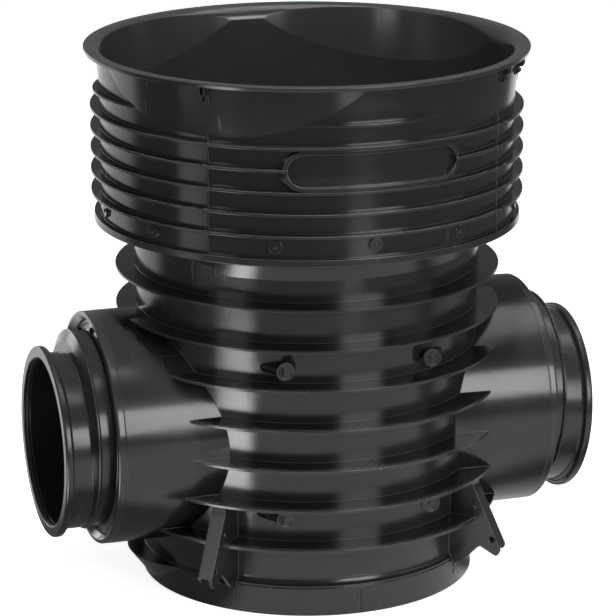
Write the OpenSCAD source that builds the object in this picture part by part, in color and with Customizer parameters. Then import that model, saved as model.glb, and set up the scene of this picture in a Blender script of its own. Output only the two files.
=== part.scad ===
// Drain inspection chamber base: a ribbed moulding with a corrugated-riser
// socket on top and a swivelling pipe socket at each end.
// Frame: origin at the centre of the foot's underside, +Z up, flow along X.

/* [Riser socket] */
// Height of the rim above the ground, mm
overall_h = 648; // [640:1:670]
// Outside radius of the rim flange, mm
rim_r = 265; // [262:1:272]
// Thickness of the rim flange, mm
rim_t = 5; // [4:0.5:8]
// Bore radius that takes the riser pipe, mm
riser_bore_r = 240.5; // [238:0.5:241]
// Wall thickness of the riser socket, mm
riser_wall = 7; // [6:0.5:8]
// Height of the ledge the riser pipe stands on, mm
riser_floor_z = 453; // [452:1:456]
// Thickness of that ledge, mm
riser_floor_t = 7; // [5:0.5:8]
// Radius of the opening through the ledge, mm
riser_hole_r = 197; // [192:1:199]
// Width of the rounded bell at the mouth, mm
bell_w = 14; // [8:0.5:15]
// Height of the rounded bell at the mouth, mm
bell_h = 18; // [12:0.5:20]

/* [Wavy lead-in] */
// Radius of each of the four slanting lead-in scallops, mm
scallop_r = 225; // [222:1:226]
// Depth below the rim top at which a scallop breaks through the bore, mm
scallop_drop = 51; // [48:1:54]
// Outward slope of a scallop, degrees
scallop_tilt = 6.7; // [5:0.1:8]

/* [Riser rings] */
// Tip radius of the stiffening rings, mm
ring_r = 258; // [255:0.5:260]
// Ring thickness at the tip, mm
ring_t = 2.8; // [2:0.2:4]
// Height of the lowest ring, mm
ring_z = 474.5; // [472:0.5:478]
// Depth of the topmost ring below the rim top, mm
top_ring_drop = 46; // [44:0.5:48]
// Radius of the disc that forms each partial ring, mm
part_ring_r = 150; // [140:1:160]
// Tip radius of the bottom skirt, mm
skirt_r = 255; // [252:0.5:258]
// Height of the skirt's lower edge, mm
skirt_z = 440; // [436:1:442]
// Height of the skirt band, mm
skirt_h = 8; // [6:1:10]
// Reach of the raised panel frame, mm
panel_r = 257; // [255:0.5:257]
// Half width of the panel across the front, mm
panel_half_w = 105.3; // [90:1:110]
// Height of the panel's lower edge above the middle of the third ring, mm
panel_gap_low = 2; // [1.5:0.1:3]
// Depth of its upper edge below the middle of the fifth ring, mm
panel_gap_top = 2.3; // [1.5:0.1:4]
// Width of the panel's raised frame, mm
panel_frame = 4.5; // [3:0.5:6]
// Reach of the flat inside the panel frame, mm
panel_face_r = 251; // [249:0.5:253]
// Height of the moulding gates on the wall, mm
gate_z = 462; // [460:1:463]
// Radius of the moulding gates, mm
gate_r = 8; // [5:0.5:9]

/* [Under-rim lugs] */
// Width of a lug across its two cheeks, mm
lug_w = 8; // [6:0.5:12]
// Thickness of each cheek, mm
lug_t = 1.8; // [1.4:0.1:2.5]
// Reach of a lug, mm
lug_reach = 262; // [259:0.5:263]
// Depth of a lug below the rim top, mm
lug_drop = 27.3; // [24:0.5:32]

/* [Base shell] */
// Outside radius of the shell at its top, mm
shell_r_top = 203; // [202:0.5:205]
// Outside radius of the shell just above the foot, mm
shell_r_low = 196; // [194:0.5:198]
// Wall thickness of the shell, mm
shell_wall = 6; // [5:0.5:7]
// How far the bulged side quarters reach past the round shell, mm
side_bulge = 6; // [4:0.5:7]
// Half angle of the front and back quarters, degrees
quarter_deg = 45.4; // [44:0.2:47]
// Reach of the collar under the riser socket, mm
collar_r = 215; // [213:0.5:217]
// Radius of the flare that leads up to the collar, mm
flare_r = 72.7; // [60:0.1:80]
// Height at which the flare starts, mm
flare_z = 400; // [398:1:404]
// Outside radius of the foot, mm
foot_r = 202; // [200:0.5:206]
// Height of the foot, mm
foot_h = 35; // [33:1:38]
// Radius at the ground of the foot lobe under each cup, mm
lobe_r_low = 70; // [64:1:74]
// Radius of the lobe at the top of the foot, mm
lobe_r_top = 97; // [90:1:99]
// Distance from the chamber axis to the lobe axis, mm
lobe_x = 129; // [125:1:131]

/* [Base ribs] */
// Tip radius of the ring ribs, mm
rib_r = 230.8; // [224:0.5:234]
// Rib thickness at the tip, mm
rib_t = 3; // [2.4:0.2:4]
// Height of the lowest rib, mm
rib_z = 89.6; // [88:0.5:94]
// Spacing of the ribs, mm
rib_pitch = 48.6; // [47.6:0.2:49]

/* [Pipe cups] */
// Outside radius of the round cup at each end, mm
cup_r = 140.2; // [139.5:0.1:142]
// Height of the cup axis, mm
cup_z = 196.2; // [195:0.5:199]
// How far the face of the cup stands past the rim, mm
cup_out = 0; // [-1:0.5:1]
// Depth of the ball centre behind the face of the cup, mm
ball_depth = 21; // [20.5:0.5:21.5]
// Depth of the ball cavity behind the face of the cup, mm
cavity_depth = 67; // [67:0.5:68]
// Radius of the seal's seat inside the cup, mm
seat_r = 134.3; // [134.3:0.1:134.8]

/* [Channel and benching] */
// Radius of the flow channel, mm
channel_r = 96; // [95:0.5:97]
// Height of the channel axis, mm
channel_z = 183.8; // [182:0.2:185]
// Height of the benching beside the channel, mm
bench_z = 195; // [194:1:210]
// Height of the benching at the chamber wall, mm
bench_wall_z = 225; // [215:1:240]
// Distance from the chamber axis to the flat end walls, mm
end_wall_x = 192; // [190:0.5:192]
// Thickness of the webs under the channel, mm
web_t = 4; // [3:0.5:6]

/* [Ears and gate bosses] */
// Distance across the two cheeks of an ear, mm
ear_w = 18; // [14:0.5:22]
// Thickness of each ear cheek, mm
ear_t = 4; // [3:0.5:5]
// Radius of the hole through an ear, mm
ear_hole_r = 4.3; // [3:0.1:5]
// Angle of the ears from the front, degrees
ear_deg = 45.2; // [44:0.2:47]
// Radius of a gate boss's round face, on the front and back, mm
boss_r = 11; // [9:0.5:12]
// Radius of the stem behind it, mm
boss_stem_r = 6.5; // [5:0.5:8]
// Outward slant of the stem as it runs back, degrees
boss_slant = 27; // [22:1:32]
// Distance of a gate boss face from the centre line, mm
boss_x = 90; // [86:0.5:92]
// Distance of a gate boss face from the long centre plane, mm
boss_y = 195.6; // [193:0.2:198]
// Height of the upper gate bosses, mm
boss_z_top = 304.5; // [300:0.5:310]
// Height of the lower gate bosses, mm
boss_z_low = 124.8; // [118:0.2:126]

/* [Swivel socket] */
// Radius of the ball on the socket, mm
ball_r = 130.5; // [130:0.1:130.6]
// Half length of the ball, mm
ball_half = 22; // [21:0.5:22]
// Running gap on each side of the ball seal, mm
swivel_gap = 0.3; // [0.2:0.05:0.3]
// Half width of the ball seal, mm
ball_seal_half = 3; // [2.5:0.5:3]
// Radius of the neck behind the flange, mm
neck_r = 117; // [116:0.5:118]
// Radius of the thin flange, mm
flange_r = 120; // [119:0.5:120]
// Distance from the ball centre to the flange, mm
flange_x = 46.5; // [46:0.5:48]
// Thickness of the flange edge, mm
flange_t = 2.6; // [2:0.2:3.5]
// Length of the cone in front of the flange, mm
flange_cone = 5.6; // [4:0.2:8]
// Downward lean of the outlet socket as it lies in its cup, degrees
outlet_lean = 2.8; // [0:0.2:3]
// Drop of the socket axis below the ball centre, mm
socket_drop = 12.4; // [11:0.2:12.6]
// Bore radius that takes the pipe, mm
pipe_bore_r = 100.4; // [100:0.1:101]
// Wall thickness of the socket barrel, mm
barrel_wall = 5.6; // [5:0.2:6]
// Distance from the ball centre to the socket mouth, mm
mouth_x = 87; // [84:0.5:90]
// Distance from the ball centre to the pipe stop, mm
stop_x = 1; // [0:0.5:4]
// Radius of the opening past the pipe stop, mm
stop_r = 94; // [92:0.5:95]
// Outside radius of the bead at the mouth, mm
bead_r = 114.7; // [113:0.5:117]
// Length of the bead, mm
bead_len = 9; // [8.5:0.1:11]
// Radius of the seal groove inside the bead, mm
groove_r = 107; // [105:0.5:109]
// Width of the seal groove, mm
groove_w = 6; // [5:0.5:6]

/* [Retaining ring] */
// Outside radius of the retaining ring, mm
retainer_r = 140; // [139:0.1:140.2]
// Inside radius of the retaining ring, mm
retainer_bore_r = 129.4; // [129.4:0.1:130]
// Length of the retaining ring, mm
retainer_len = 10; // [8:0.5:11]
// Radius at which its bevelled face starts, mm
retainer_bevel_r = 135; // [132:0.5:136]

/* [View] */
// Part to draw, or all of them

/* [Hidden] */
$fn = 96;
plastic = [0.07, 0.07, 0.075];
plastic_lo = [0.06, 0.06, 0.065];
rubber = [0.02, 0.02, 0.02];
ring_n = 5;
ring_pitch = (overall_h - top_ring_drop - ring_z) / ring_n;
scallop_z = overall_h - scallop_drop;
panel_z0 = ring_z + 2 * ring_pitch + panel_gap_low;
panel_z1 = ring_z + 4 * ring_pitch - panel_gap_top;
panel_back_r = 200;
panel_clear = 22;
cup_face_x = rim_r + cup_out;
ball_x = cup_face_x - ball_depth;
cavity_x = cup_face_x - cavity_depth;
rib_n = 7;
weld_z = riser_floor_z - riser_floor_t;
wall_r = riser_bore_r + riser_wall;
scallop_off = riser_bore_r - scallop_r;
part_ring_off = ring_r - part_ring_r;
shell_k = (shell_r_top - shell_r_low) / (weld_z - foot_h);
shell_r_0 = shell_r_low - shell_k * foot_h;
side_off = (2 * shell_r_top + side_bulge) * side_bulge
    / (2 * shell_r_top * (1 - sin(quarter_deg)) + 2 * side_bulge);
side_less = side_off - side_bulge;
lobe_k = (lobe_r_top - lobe_r_low) / foot_h;
bench_k = (bench_wall_z - bench_z) / (riser_hole_r - channel_r);
bench_reach = shell_r_top + 57;
cut_reach = cup_face_x + 35;
barrel_r = pipe_bore_r + barrel_wall;
seal_in_r = ball_r + swivel_gap;
seal_out_r = seat_r - swivel_gap;
bead_x = mouth_x - bead_len;
groove_x = mouth_x - 1.6 - groove_w;

// Points on an arc from angle a0 to a1
function arc(cx, cy, r, a0, a1, n) =
    [for (i = [0:n]) [cx + r * cos(a0 + (a1 - a0) * i / n),
                      cy + r * sin(a0 + (a1 - a0) * i / n)]];

// Rod along +X from x0 to x1 at height z
module xrod(r, x0, x1, z = 0) {
    translate([x0, 0, z])
        rotate([0, 90, 0])
            cylinder(r = r, h = x1 - x0);
}

// Turned shape about the X axis from points [x, radius]
module xturn(pts) {
    rotate([0, 90, 0])
        rotate_extrude()
            polygon([for (p = pts) [p[1], p[0]]]);
}

// Plate standing on a radius: points [radius, z], placed at angle a from +X
module radial_plate(a, off, t, pts) {
    rotate([0, 0, a])
        translate([0, off + t / 2, 0])
            rotate([90, 0, 0])
                linear_extrude(height = t)
                    polygon(pts);
}

// Four slanting scallops of radius r
module scallops(r) {
    for (a = [45, 135, 225, 315])
        rotate([0, 0, a])
            translate([scallop_off, 0, scallop_z])
                rotate([0, scallop_tilt, 0])
                    translate([0, 0, -50])
                        cylinder(r = r, h = 150);
}

// Bore with its scalloped lead-in
module riser_void() {
    translate([0, 0, riser_floor_z])
        cylinder(r = riser_bore_r, h = overall_h - riser_floor_z + 1);
    scallops(scallop_r);
    rotate_extrude()
        polygon(concat(
            [[0, overall_h + 1], [0, overall_h - bell_h + 1]],
            [for (a = [6:12:90])
                [riser_bore_r + bell_w * (1 - cos(a)),
                 overall_h - bell_h + bell_h * sin(a)]],
            [[riser_bore_r + bell_w, overall_h + 1]]));
}

module stadium(w, z0, z1, inset) {
    r = (z1 - z0) / 2 - inset;
    zc = (z0 + z1) / 2;
    translate([-(w - (z1 - z0) / 2), zc])
        circle(r = r);
    translate([w - (z1 - z0) / 2, zc])
        circle(r = r);
    translate([-(w - (z1 - z0) / 2), zc - r])
        square([2 * w - (z1 - z0), 2 * r]);
}

// Block bounded by the panel outline, in front of the wall
module panel_block(inset) {
    rotate([90, 0, 0])
        translate([0, 0, panel_back_r])
            linear_extrude(height = ring_r + panel_clear - panel_back_r)
                stadium(panel_half_w, panel_z0, panel_z1, inset);
}

module lug(a) {
    zt = overall_h - 1;
    zb = overall_h - lug_drop;
    in_r = wall_r - 3;
    for (s = [-1, 1])
        radial_plate(a, s * (lug_w - lug_t) / 2, lug_t,
            [[in_r, zt], [lug_reach, zt], [lug_reach, zb + 14],
             [lug_reach - 1.5, zb + 12], [lug_reach - 6, zb + 11.4],
             [lug_reach - 6.2, zb + 9.2], [lug_reach - 4.6, zb + 7.6],
             [lug_reach - 4.6, zb + 5], [lug_reach - 12, zb],
             [in_r, zb]]);
}

// Small round moulding gate with a centre pin, on the wall at angle a
module wall_gate(a) {
    rotate([0, 0, a]) {
        xrod(gate_r, wall_r - 3, wall_r + 3, gate_z);
        xrod(2.2, wall_r, wall_r + 4.4, gate_z);
    }
}

// Upper moulding: flanged and ringed socket for the riser pipe
module riser_socket() {
    color(plastic)
    difference() {
        union() {
            translate([0, 0, weld_z])
                cylinder(r = wall_r, h = overall_h - weld_z);
            intersection() {
                scallops(scallop_r + riser_wall);
                translate([0, 0, scallop_z - 60])
                    cylinder(r = rim_r + 20, h = overall_h - scallop_z + 60);
            }
            rotate_extrude()
                polygon(concat(
                    [[wall_r - 4, overall_h - rim_t - 3],
                     [wall_r + 1, overall_h - rim_t - 1.2],
                     [rim_r - 0.8, overall_h - rim_t]],
                    arc(rim_r - 1.2, overall_h - 1.2, 1.2, 0, 90, 4),
                    [[wall_r - 4, overall_h]]));
            for (i = [0:ring_n - 1])
                rotate_extrude()
                    translate([0, ring_z + i * ring_pitch])
                        polygon([[wall_r - 3, -ring_t / 2 - 0.7],
                                 [ring_r, -ring_t / 2],
                                 [ring_r, ring_t / 2],
                                 [wall_r - 3, ring_t / 2 + 0.7]]);
            for (a = [0, 90, 180, 270])
                rotate([0, 0, a])
                    translate([part_ring_off, 0,
                               ring_z + ring_n * ring_pitch - ring_t / 2])
                        cylinder(r = part_ring_r, h = ring_t);
            translate([0, 0, skirt_z])
                difference() {
                    cylinder(r1 = skirt_r, r2 = skirt_r - 0.6, h = skirt_h);
                    translate([0, 0, -1])
                        cylinder(r = wall_r - 2, h = weld_z - skirt_z + 1);
                }
            for (a = [0:90:270])
                for (d = [-26.5, 0, 26.5])
                    wall_gate(a + d);
            intersection() {
                panel_block(0);
                cylinder(r = panel_r, h = overall_h);
            }
            for (a = [45, 135, 225, 315]) {
                lug(a);
                radial_plate(a, 0, 1.2,
                    [[wall_r - 3, skirt_z + 2], [wall_r + 0.7, skirt_z + 2],
                     [wall_r + 0.7, scallop_z], [wall_r - 3, scallop_z]]);
                for (i = [0:ring_n - 1])
                    radial_plate(a, 0, 3,
                        [[ring_r - 3, ring_z + i * ring_pitch - ring_t],
                         [ring_r + 0.8, ring_z + i * ring_pitch - ring_t],
                         [ring_r + 0.8, ring_z + i * ring_pitch + ring_t],
                         [ring_r - 3, ring_z + i * ring_pitch + ring_t]]);
            }
            lug(-32.5);
        }
        riser_void();
        translate([0, 0, weld_z - 1])
            cylinder(r = riser_hole_r, h = riser_floor_t + 2);
        difference() {
            panel_block(panel_frame);
            cylinder(r = panel_face_r, h = overall_h);
        }
    }
}

// Draughted shell cone, grown outward by d
module shell_cone(d, z0, z1) {
    translate([0, 0, z0])
        cylinder(r1 = shell_r_0 + shell_k * z0 + d,
                 r2 = shell_r_0 + shell_k * z1 + d, h = z1 - z0);
}

// The two bulged side quarters: the same cone, narrower and moved outward
module side_cones(d, z0, z1) {
    for (k = [-1, 1])
        translate([k * side_off, 0, 0])
            shell_cone(d - side_less, z0, z1);
}

// Flare and collar that carry the riser socket
module collar() {
    in_r = shell_r_top - 5;
    arc_x = shell_r_top - 1.3 + flare_r;
    arc_a = acos((arc_x - collar_r) / flare_r);
    rotate_extrude()
        polygon(concat(
            [[in_r, flare_z - 2], [shell_r_top - 2.6, flare_z - 2]],
            arc(arc_x, flare_z, flare_r, 180, 180 - arc_a, 9),
            [[collar_r, weld_z], [in_r, weld_z]]));
}

// Foot lobe under the cup on the +X side, shrunk inward by d
module foot_lobe(d, z0, z1) {
    translate([lobe_x, 0, z0])
        cylinder(r1 = lobe_r_low + lobe_k * z0 - d,
                 r2 = lobe_r_low + lobe_k * z1 - d, h = z1 - z0);
}

module ear(a, side) {
    half = ear_w / 2;
    in_r = shell_r_low - 4;
    difference() {
        union() {
            radial_plate(a, side * (half - ear_t / 2), ear_t,
                [[in_r, 136], [226, 136], [227, 130], [262, 58],
                 [262, 52], [259.6, 47.2], [256.6, 46.2], [237, 55.5],
                 [233, 53], [214, 33], [foot_r - 3, 27], [in_r, 27]]);
            radial_plate(a, -side * (half - ear_t / 2), ear_t,
                [[in_r, 136], [226, 136], [227, 130], [262, 58],
                 [262, 54.4], [260, 52], [252, 52], [237, 57.5],
                 [233, 55], [214, 35], [foot_r - 3, 28], [in_r, 28]]);
            radial_plate(a, 0, ear_w - 2,
                [[in_r, 136], [226, 136], [227, 130], [262, 58],
                 [258, 58], [223, 130], [in_r, 130]]);
        }
        rotate([0, 0, a])
            translate([252.5, ear_w, 66])
                rotate([90, 0, 0])
                    cylinder(r = ear_hole_r, h = 2 * ear_w);
    }
    rotate([0, 0, a])
        translate([228, side * (half - 1), 103])
            rotate([90, 0, 0])
                cylinder(r = 2.5, h = 3.6, center = true);
}

// Gate boss on the front: a round dished face with a centre pin, on a
// thinner stem that slants back to the wall
module gate_boss(k, z) {
    translate([k * boss_x, -boss_y, z]) {
        rotate([0, 0, -90]) {
            difference() {
                xrod(boss_r, -4, 0);
                xrod(boss_r - 2.4, -1.2, 1);
            }
            xrod(2.4, -3, 0.8);
        }
        rotate([0, 0, -90 - k * boss_slant])
            xrod(boss_stem_r, -42, -2);
    }
}

// Lower moulding: shell, ribs, cups, channel, benching and foot
module base_body() {
    color(plastic_lo)
    difference() {
        union() {
            shell_cone(0, 0, weld_z);
            side_cones(0, 0, weld_z);
            cylinder(r = foot_r, h = foot_h - 1.5);
            translate([0, 0, foot_h - 1.5])
                cylinder(r1 = foot_r, r2 = foot_r - 1.5, h = 1.5);
            rotate_extrude()
                polygon(concat(
                    [[shell_r_low - 4, foot_h - 2]],
                    [[shell_r_low + 5, foot_h - 2],
                     [shell_r_low + 5, foot_h]],
                    arc(shell_r_low + 10.3, foot_h + 10, 10, 240, 180, 5),
                    [[shell_r_low - 4, foot_h + 10]]));
            collar();
            for (i = [0:rib_n - 1])
                rotate_extrude()
                    translate([0, rib_z + i * rib_pitch])
                        polygon([[shell_r_low - 3, -rib_t / 2 - 0.8],
                                 [rib_r, -rib_t / 2],
                                 [rib_r, rib_t / 2],
                                 [shell_r_low - 3, rib_t / 2 + 0.8]]);
            for (s = [0, 180])
                rotate([0, 0, s]) {
                    xrod(cup_r, 100, cup_face_x, cup_z);
                    foot_lobe(0, 0, foot_h);
                }
            ear(-90 + ear_deg, -1);
            ear(-90 - ear_deg, 1);
            ear(90 + ear_deg, -1);
            ear(90 - ear_deg, 1);
            for (s = [0, 180])
                rotate([0, 0, s])
                    for (k = [-1, 1]) {
                        gate_boss(k, boss_z_top);
                        gate_boss(k, boss_z_low);
                    }
        }
        chamber_void();
        under_void();
        for (s = [0, 180])
            rotate([0, 0, s])
                cup_void();
        for (a = [-90, 90])
            rotate([0, 0, a])
                translate([foot_r - 1.6, -1.6, 2])
                    cube([4, 3.2, 29]);
        for (a = [-133, -47, 47, 133])
            rotate([0, 0, a])
                translate([foot_r - 1.6, -1.3, 14])
                    cube([4, 2.6, 16]);
    }
}

// Space of the chamber and of the flow channel through it
module chamber_void() {
    y1 = bench_reach;
    z1 = bench_z + bench_k * (y1 - channel_r);
    intersection() {
        shell_cone(-shell_wall, 60, weld_z + 1);
        union() {
            intersection() {
                rotate([90, 0, 90])
                    translate([0, 0, -cut_reach])
                        linear_extrude(height = 2 * cut_reach)
                            polygon([[-y1, weld_z + 2], [-y1, z1],
                                     [-channel_r + 0.5, bench_z],
                                     [-channel_r + 0.5, channel_z],
                                     [channel_r - 0.5, channel_z],
                                     [channel_r - 0.5, bench_z],
                                     [y1, z1], [y1, weld_z + 2]]);
                union() {
                    translate([-end_wall_x, -y1, 60])
                        cube([2 * end_wall_x, 2 * y1, weld_z - 46]);
                    translate([-y1, -y1, cup_z + cup_r + 6])
                        cube([2 * y1, 2 * y1, weld_z]);
                }
            }
        }
    }
    xrod(channel_r, -cavity_x - 4, cavity_x + 4, channel_z);
    side_cones(-shell_wall, cup_z + cup_r + 8, weld_z + 1);
}

// Open space under the benching, crossed by webs
module under_void() {
    y1 = bench_reach;
    out_r = channel_r + shell_wall;
    zu = bench_z - shell_wall - 0.3;
    difference() {
        union() {
            for (s = [0, 180])
                rotate([0, 0, s])
                    foot_lobe(shell_wall, -1, foot_h - shell_wall);
            intersection() {
                shell_cone(-shell_wall, -1, 260);
                rotate([90, 0, 90])
                    translate([0, 0, -end_wall_x + 4])
                        linear_extrude(height = 2 * end_wall_x - 8)
                            polygon([[-y1, -1], [y1, -1],
                                     [y1, zu + bench_k * (y1 - channel_r)],
                                     [out_r - 1, zu + bench_k * 5],
                                     [out_r - 1, channel_z],
                                     [-out_r + 1, channel_z],
                                     [-out_r + 1, zu + bench_k * 5],
                                     [-y1, zu + bench_k * (y1 - channel_r)]]);
            }
        }
        xrod(out_r, -cut_reach, cut_reach, channel_z);
        for (s = [0, 180])
            rotate([0, 0, s])
                xrod(cup_r, cavity_x - shell_wall - 40, cut_reach, cup_z);
        translate([-shell_r_top - 27, -web_t / 2, 0])
            cube([2 * (shell_r_top + 27), web_t, channel_z]);
        translate([-web_t / 2, -shell_r_top + 3, 0])
            cube([web_t, 2 * (shell_r_top - 3), bench_wall_z + 25]);
    }
}

// Ball cavity of the cup on the +X side
module cup_void() {
    intersection() {
        translate([ball_x, 0, cup_z])
            sphere(r = seat_r);
        translate([cavity_x, -150, 0])
            cube([90, 300, 400]);
    }
    difference() {
        xrod(122, 150, cavity_x + 1, cup_z);
        cylinder(r = shell_r_top, h = 400);
    }
}

// Swivel socket about its ball centre, mouth towards +X
module swivel_socket() {
    zc = -socket_drop;
    fx = flange_x + flange_t;
    difference() {
        union() {
            difference() {
                union() {
                    intersection() {
                        sphere(r = ball_r);
                        translate([-ball_half, -150, -150])
                            cube([2 * ball_half, 300, 300]);
                    }
                    xturn([[ball_half - 1, 0], [ball_half - 1, 126],
                           [ball_half, 126], [ball_half + 3, neck_r + 2],
                           [ball_half + 5, neck_r], [flange_x - 1.5, neck_r],
                           [flange_x, flange_r - 0.6], [flange_x + 0.6, flange_r],
                           [fx - 0.6, flange_r], [fx, flange_r - 0.6],
                           [fx + flange_cone, flange_r - 14],
                           [fx + flange_cone, 0]]);
                }
                xrod(123, -ball_half - 1, ball_half - 6);
                xrod(neck_r - 5, 0, flange_x - 4);
            }
            translate([0, 0, zc]) {
                xrod(barrel_r, stop_x - 6, mouth_x - 4);
                xturn(concat(
                    [[bead_x - 5, barrel_r - 2]],
                    arc(bead_x - 4, barrel_r + 4, 4.1, -88, 0, 7),
                    arc(bead_x + 2.7, bead_r - 2.7, 2.7, 180, 90, 6),
                    arc(mouth_x - 2.5, bead_r - 2.5, 2.5, 90, 0, 6),
                    [[mouth_x, pipe_bore_r + 1],
                     [bead_x - 5, pipe_bore_r + 1]]));
            }
            for (a = [-60:30:60])
                rotate([a, 0, 0])
                    translate([-ball_half + 6, -1.5, 96])
                        cube([2 * ball_half, 3, 27.5]);
        }
        translate([0, 0, zc]) {
            xrod(pipe_bore_r, stop_x, mouth_x + 1);
            xrod(stop_r, -40, stop_x + 1);
            translate([mouth_x - 1.6, 0, 0])
                rotate([0, 90, 0])
                    cylinder(r1 = pipe_bore_r + 0.2, r2 = pipe_bore_r + 2.2, h = 1.7);
            xrod(groove_r, groove_x, groove_x + groove_w);
        }
    }
}

// Ring seal between the ball and the cup
module ball_seal() {
    ai = asin(ball_seal_half / seal_in_r);
    ao = asin(ball_seal_half / seal_out_r);
    color(rubber)
    xturn(concat(
        arc(0, 0, seal_in_r, 90 + ai, 90 - ai, 6),
        arc(0, 0, seal_out_r, 90 - ao, 90 + ao, 6)));
}

// Ring that keeps the ball in the cup
module retaining_ring() {
    color(plastic)
    xturn(concat(
        [[0, retainer_bore_r], [0, retainer_r - 0.7],
         [0.7, retainer_r]],
        arc(retainer_len - 2.6, retainer_r - 2.6, 2.6, 90, 0, 6),
        [[retainer_len, retainer_bevel_r],
         [retainer_len - 6, retainer_bore_r + 0.4],
         [retainer_len - 6.6, retainer_bore_r]]));
}

// Lip seal in the groove of the bead
module pipe_seal() {
    color(rubber)
    xturn([[groove_x + 0.05, groove_r - 0.05],
           [groove_x + groove_w - 0.05, groove_r - 0.05],
           [groove_x + groove_w - 0.05, groove_r - 3.4],
           [groove_x + groove_w - 1.6, pipe_bore_r + 0.5],
           [groove_x + 2.2, pipe_bore_r + 0.3],
           [groove_x + 1.4, pipe_bore_r + 1.1],
           [groove_x + 2.8, groove_r - 3.6],
           [groove_x + 0.05, groove_r - 3.2]]);
}

// Place a child made about the ball centre at one end; s is -1 or 1
module at_end(s, lean = 0) {
    rotate([0, 0, s < 0 ? 180 : 0])
        translate([ball_x, 0, cup_z])
            rotate([0, lean, 0])
                children();
}

module inlet_socket() {
    color(plastic)
        at_end(-1)
            swivel_socket();
}

module outlet_socket() {
    color(plastic)
        at_end(1, outlet_lean)
            swivel_socket();
}

module inlet_ball_seal() {
    at_end(-1)
        ball_seal();
}

module outlet_ball_seal() {
    at_end(1)
        ball_seal();
}

module inlet_retaining_ring() {
    at_end(-1)
        translate([cup_face_x - ball_x, 0, 0])
            retaining_ring();
}

module outlet_retaining_ring() {
    at_end(1)
        translate([cup_face_x - ball_x, 0, 0])
            retaining_ring();
}

module inlet_pipe_seal() {
    at_end(-1)
        translate([0, 0, -socket_drop])
            pipe_seal();
}

module outlet_pipe_seal() {
    at_end(1, outlet_lean)
        translate([0, 0, -socket_drop])
            pipe_seal();
}

riser_socket();
base_body();
inlet_socket();
outlet_socket();
inlet_ball_seal();
outlet_ball_seal();
inlet_retaining_ring();
outlet_retaining_ring();
inlet_pipe_seal();
outlet_pipe_seal();
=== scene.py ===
import math
import bpy
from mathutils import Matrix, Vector


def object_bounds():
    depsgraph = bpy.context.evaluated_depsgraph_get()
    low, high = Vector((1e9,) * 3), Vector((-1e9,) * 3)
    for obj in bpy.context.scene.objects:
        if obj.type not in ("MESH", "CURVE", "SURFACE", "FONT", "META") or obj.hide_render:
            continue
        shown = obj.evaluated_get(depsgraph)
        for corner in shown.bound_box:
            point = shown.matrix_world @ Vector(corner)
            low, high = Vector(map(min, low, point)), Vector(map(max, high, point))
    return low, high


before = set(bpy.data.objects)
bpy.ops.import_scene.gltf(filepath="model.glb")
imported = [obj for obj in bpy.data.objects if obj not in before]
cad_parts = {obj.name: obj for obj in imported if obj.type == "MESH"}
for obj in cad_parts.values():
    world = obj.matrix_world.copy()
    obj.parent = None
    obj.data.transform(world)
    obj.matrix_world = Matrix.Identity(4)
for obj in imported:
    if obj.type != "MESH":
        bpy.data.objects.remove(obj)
cad_lo, cad_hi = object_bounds()
bpy.ops.object.select_all(action="DESELECT")
scene = bpy.context.scene
scene.view_settings.view_transform = "Standard"

WHITE = (1.0, 1.0, 1.0, 1.0)


# ---------- shader maths ----------

class Val:
    """A socket's output that can be used in a sum."""

    def __init__(self, mat, out):
        self.mat, self.out = mat, out

    def op(self, name, *others):
        ins = {0: self.out}
        for i, o in enumerate(others):
            ins[i + 1] = o.out if isinstance(o, Val) else o
        return self.mat.make("ShaderNodeMath", {"operation": name}, ins)

    def __add__(self, o): return self.op("ADD", o)
    __radd__ = __add__
    def __mul__(self, o): return self.op("MULTIPLY", o)
    __rmul__ = __mul__
    def __sub__(self, o): return self.op("SUBTRACT", o)
    def __rsub__(self, o): return self.op("MULTIPLY", -1.0).op("ADD", o)
    def __abs__(self): return self.op("ABSOLUTE")
    def __pow__(self, o): return self.op("POWER", o)
    def max(self, o): return self.op("MAXIMUM", o)

    def ramp(self, lo, hi):
        """0 below lo, 1 above hi, smooth between."""
        return self.mat.make("ShaderNodeMapRange", {"interpolation_type": "SMOOTHSTEP"},
                             {0: self.out, 1: lo, 2: hi, 3: 0.0, 4: 1.0})


class Mat:
    """A node tree under construction."""

    def __init__(self, tree):
        self.tree = tree
        tree.nodes.clear()

    def make(self, kind, settings=None, ins=None, out=0):
        """Add a node, set it up, link or fill its inputs and give one of its outputs."""
        n = self.tree.nodes.new(kind)
        for k, v in (settings or {}).items():
            setattr(n, k, v)
        for k, v in (ins or {}).items():
            if isinstance(v, Val):
                v = v.out
            if isinstance(v, bpy.types.NodeSocket):
                self.tree.links.new(v, n.inputs[k])
            else:
                n.inputs[k].default_value = v
        return Val(self, n.outputs[out]) if len(n.outputs) else None

    def coords(self):
        return self.make("ShaderNodeTexCoord", out="Object")

    def mapped(self, vec, scale, turn=(0, 0, 0)):
        return self.make("ShaderNodeMapping", {}, {"Vector": vec, "Scale": scale, "Rotation": turn})

    def noise(self, vec, scale, detail, rough, warp=0.0):
        return self.make("ShaderNodeTexNoise", {}, {"Vector": vec, "Scale": scale, "Detail": detail,
                                                    "Roughness": rough, "Distortion": warp}, "Fac")

    def mix(self, fac, a, b):
        return self.make("ShaderNodeMix", {"data_type": "RGBA"}, {0: fac, 6: a, 7: b}, 2)

    def bump(self, height, strength, distance, normal=None):
        ins = {"Height": height, "Strength": strength, "Distance": distance}
        if normal is not None:
            ins["Normal"] = normal
        return self.make("ShaderNodeBump", {}, ins)

    def emit(self, strength):
        return self.make("ShaderNodeEmission", {}, {"Color": WHITE, "Strength": strength})

    def blend(self, fac, a, b):
        return self.make("ShaderNodeMixShader", {}, {0: fac, 1: a, 2: b})

    def surface(self, shader, kind="ShaderNodeOutputMaterial"):
        self.make(kind, {}, {"Surface": shader})


def new_material(name):
    m = bpy.data.materials.new(name)
    m.use_nodes = True
    return m, Mat(m.node_tree)


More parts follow.
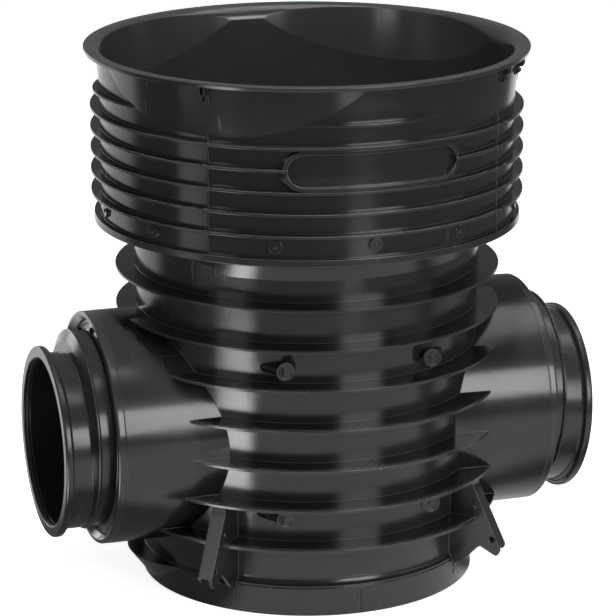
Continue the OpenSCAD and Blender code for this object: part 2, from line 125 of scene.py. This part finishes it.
# ---------- materials ----------

EDGE_RADIUS = 0.0012
# Grey of the painted edge highlight.
EDGE_HIGHLIGHT_GREY = 0.12


def moulded_black(name, tone, gloss, wave):
    """Black injection-moulded plastic.

    It has slight colour drift, satin patches, sink waves, fine grain,
    handling scratches, dust and a painted highlight: lighter grey along the edges.
    """
    m, t = new_material(name)
    co = t.coords()
    cloud = t.noise(co, 9.0, 3.0, 0.55)
    fine = t.noise(co, 420.0, 2.0, 0.6)
    flow = t.noise(t.mapped(co, (3.0, 3.0, 26.0)), 2.2, 2.0, 0.5, 0.6)
    swell = t.noise(t.mapped(co, (1.0, 1.0, 0.55)), 7.0, 1.0, 0.4)

    hair = t.noise(t.mapped(co, (260.0, 14.0, 14.0), (0.3, 0.5, 0.7)), 1.0, 1.0, 0.5)
    hair2 = t.noise(t.mapped(co, (12.0, 230.0, 16.0), (0.2, 0.4, 1.1)), 1.0, 1.0, 0.5)
    scratch = hair.ramp(0.70, 0.76).max(hair2.ramp(0.71, 0.77)) * cloud.ramp(0.42, 0.7)
    dust = t.noise(co, 160.0, 4.0, 0.7).ramp(0.62, 0.8) * flow.ramp(0.45, 0.8)

    dark = tuple(c * 0.8 for c in tone) + (1.0,)
    pale = tuple(c * 1.35 for c in tone) + (1.0,)
    grey = tuple(c * 3.0 + 0.01 for c in tone) + (1.0,)
    base = t.mix(cloud, dark, pale)
    base = t.mix(dust * 0.35 + scratch * 0.25, base, grey)
    rough = gloss + (flow - 0.5) * 0.10 + (cloud - 0.5) * 0.08 + scratch * 0.18 + dust * 0.12

    # Painted highlight: the edges that the bevel finds are mixed toward a lighter grey, in patches.
    edge = t.make("ShaderNodeBevel", {"samples": 6}, {"Radius": EDGE_RADIUS})
    flat = t.make("ShaderNodeNewGeometry", out="Normal")
    bend = t.make("ShaderNodeVectorMath", {"operation": "DOT_PRODUCT"}, {0: edge, 1: flat}, "Value")
    painted_edge_highlight = (1.0 - bend).ramp(0.05, 0.20) * (0.35 + cloud.ramp(0.35, 0.65) * 0.65)
    base = t.mix(painted_edge_highlight, base, (EDGE_HIGHLIGHT_GREY, EDGE_HIGHLIGHT_GREY, EDGE_HIGHLIGHT_GREY, 1.0))

    wavy = t.bump(swell, 1.0, wave, edge)
    grain = t.bump(fine, 0.35, 0.00006, wavy)
    cut = t.bump(scratch * -1.0, 0.5, 0.00008, grain)
    t.surface(t.make("ShaderNodeBsdfPrincipled", {},
                     {"Base Color": base, "Roughness": rough, "Normal": cut,
                      "IOR": 1.5, "Specular IOR Level": 0.5}))
    return m


def seal_rubber(name):
    """Satin black rubber with a patchy bloom."""
    m, t = new_material(name)
    co = t.coords()
    cloud = t.noise(co, 30.0, 3.0, 0.6)
    fine = t.noise(co, 900.0, 2.0, 0.6)
    bloom = t.noise(co, 70.0, 4.0, 0.7).ramp(0.55, 0.8)
    base = t.mix(bloom * 0.4, (0.010, 0.010, 0.010, 1.0), (0.035, 0.035, 0.036, 1.0))
    t.surface(t.make("ShaderNodeBsdfPrincipled", {},
                     {"Base Color": base, "Roughness": 0.5 + (cloud - 0.5) * 0.2,
                      "Normal": t.bump(fine, 0.4, 0.0001), "IOR": 1.52}))
    return m


upper = moulded_black("upper_moulding_black", (0.015, 0.015, 0.016), 0.17, 0.0007)
lower = moulded_black("lower_moulding_black", (0.013, 0.013, 0.014), 0.19, 0.0009)
socket = moulded_black("swivel_socket_black", (0.015, 0.015, 0.016), 0.20, 0.0005)
clip = moulded_black("retaining_ring_black", (0.019, 0.019, 0.020), 0.16, 0.0003)
seal = seal_rubber("seal_rubber")
finish = {"riser_socket": upper, "base_body": lower, "inlet_socket": socket, "outlet_socket": socket,
          "inlet_retaining_ring": clip, "outlet_retaining_ring": clip}

for node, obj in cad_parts.items():
    obj.data.materials.clear()
    obj.data.materials.append(finish.get(node, seal))


# ---------- floor ----------

FLOOR_SIZE = 16.0
FLOOR_GLOW = 0.85
# Strengths of the painted reflections that glossy rays see on the floor.
PAINTED_SHEEN, PAINTED_STRIPE, PAINTED_BOARD = 1.1, 2.4, 11.5

bpy.ops.object.select_all(action="DESELECT")
bpy.ops.mesh.primitive_plane_add(size=FLOOR_SIZE, location=(0, 0, cad_lo.z))
floor = bpy.context.object
floor.name = "floor"
m, t = new_material("pale_floor_painted_reflections")
glossy = t.make("ShaderNodeLightPath", out="Is Glossy Ray")
seen = t.make("ShaderNodeLightPath", out="Is Camera Ray")
plain = t.make("ShaderNodeBsdfDiffuse", {}, {"Color": (0.86, 0.86, 0.86, 1.0)})
lit = t.make("ShaderNodeAddShader", {}, {0: plain, 1: t.emit(FLOOR_GLOW)})
place = t.coords()
fx = t.make("ShaderNodeSeparateXYZ", {}, {"Vector": place}, "X")
fy = t.make("ShaderNodeSeparateXYZ", {}, {"Vector": place}, "Y")
turn = fx.op("ARCTAN2", fy * -1.0)
reach = (fx * fx + fy * fy) ** 0.5


def sector(lo, hi, soft):
    """1 between two azimuths of the floor, in degrees from the front."""
    lo, hi, soft = math.radians(lo), math.radians(hi), math.radians(soft)
    return turn.ramp(lo - soft, lo + soft) * (1.0 - turn.ramp(hi - soft, hi + soft))


# Painted reflection: glossy rays see glowing patches on the floor, which is no lamp: a pale sweep
# before the object and at its back, a bright band in front of it and a strong bright panel at the
# left.
painted_board_glow = sector(-68, -52.5, 4.0) * reach.ramp(0.38, 0.52) * (1.0 - reach.ramp(1.12, 1.30))
before = sector(-48, 58, 6.0).max(sector(72, 100, 5.0) * 0.6) * (1.0 - reach.ramp(0.85, 1.7))
painted_rear_sweep = abs(turn).ramp(math.radians(118), math.radians(132)) * (1.0 - reach.ramp(2.8, 3.8))
painted_stripe_glow = sector(4, 16.5, 3.0) * 0.9 * reach.ramp(1.35, 1.65) * (1.0 - reach.ramp(1.8, 2.45))
# Painted reflection: where these masks are, glossy rays see emission instead of the floor; elsewhere
# they pass through to the world.
mirrored = t.blend(before.max(painted_rear_sweep), t.make("ShaderNodeBsdfTransparent"), t.emit(PAINTED_SHEEN))
mirrored = t.blend(painted_stripe_glow, mirrored, t.emit(PAINTED_STRIPE))
mirrored = t.blend(painted_board_glow, mirrored, t.emit(PAINTED_BOARD))
t.surface(t.blend(glossy, t.blend(seen, plain, lit), mirrored))
m.cycles.emission_sampling = "NONE"
floor.data.materials.append(m)


# ---------- surroundings and lamps ----------

world = bpy.data.worlds.new("studio")
scene.world = world
world.use_nodes = True
t = Mat(world.node_tree)
cam_ray = t.make("ShaderNodeLightPath", out="Is Camera Ray")
back = t.make("ShaderNodeBackground", {}, {"Color": (0.15, 0.15, 0.154, 1.0), "Strength": 1.0})
white = t.make("ShaderNodeBackground", {}, {"Color": WHITE, "Strength": 1.0})
t.surface(t.blend(cam_ray, back, white), "ShaderNodeOutputWorld")


def direction(azimuth, elevation):
    """Unit vector from the object, with the azimuth in degrees from the front."""
    a, e = math.radians(azimuth), math.radians(elevation)
    return Vector((math.sin(a) * math.cos(e), -math.cos(a) * math.cos(e), math.sin(e)))


def softbox(name, azimuth, elevation, distance, width, height, power,
            aim=(0, 0, 0.32), fan=180, mirrored=True):
    """A rectangular lamp facing the object; one that is not mirrored gives no highlight."""
    d = direction(azimuth, elevation)
    lamp = bpy.data.lights.new(name, "AREA")
    lamp.shape = "RECTANGLE"
    lamp.size, lamp.size_y = width, height
    lamp.energy = power
    lamp.spread = math.radians(fan)
    obj = bpy.data.objects.new(name, lamp)
    obj.location = Vector(aim) + d * distance
    obj.rotation_euler = d.to_track_quat("Z", "Y").to_euler()
    obj.visible_glossy = mirrored
    scene.collection.objects.link(obj)


softbox("cup_box", 17.4, 18.6, 2.32, 1.1, 0.94, 26.0, aim=(0, 0, 0.2))
softbox("left_strip", -80, -5, 2.0, 0.5, 0.4, 0.7, aim=(0, 0, 0.27))
softbox("left_panel", -65, 15, 2.6, 0.6, 0.6, 4.0)
softbox("right_panel", 56, 16, 2.4, 1.3, 0.5, 2.2)
softbox("rear_left_box", -156, 2, 2.6, 1.2, 0.5, 5.7)
softbox("top_box", 70, 80, 2.2, 1.8, 1.8, 24)
softbox("top_fill", -18, 76, 2.5, 0.5, 0.5, 4.5, aim=(0, 0, 0.6), fan=14, mirrored=False)


# ---------- camera ----------

TARGET = Vector((0, 0, 0.300))
VIEW_AZIMUTH, VIEW_ELEVATION, VIEW_DISTANCE = -18.22, 16.16, 3.9462

cam = bpy.data.cameras.new("camera")
cam.sensor_width = 36.0
cam.lens = 189.96
cam.shift_x = 0.00185
cam.shift_y = 0.0262
eye = bpy.data.objects.new("camera", cam)
eye.location = TARGET + VIEW_DISTANCE * direction(VIEW_AZIMUTH, VIEW_ELEVATION)
eye.rotation_mode = "QUATERNION"
eye.rotation_quaternion = (eye.location - TARGET).to_track_quat("Z", "Y")
scene.collection.objects.link(eye)
scene.camera = eye
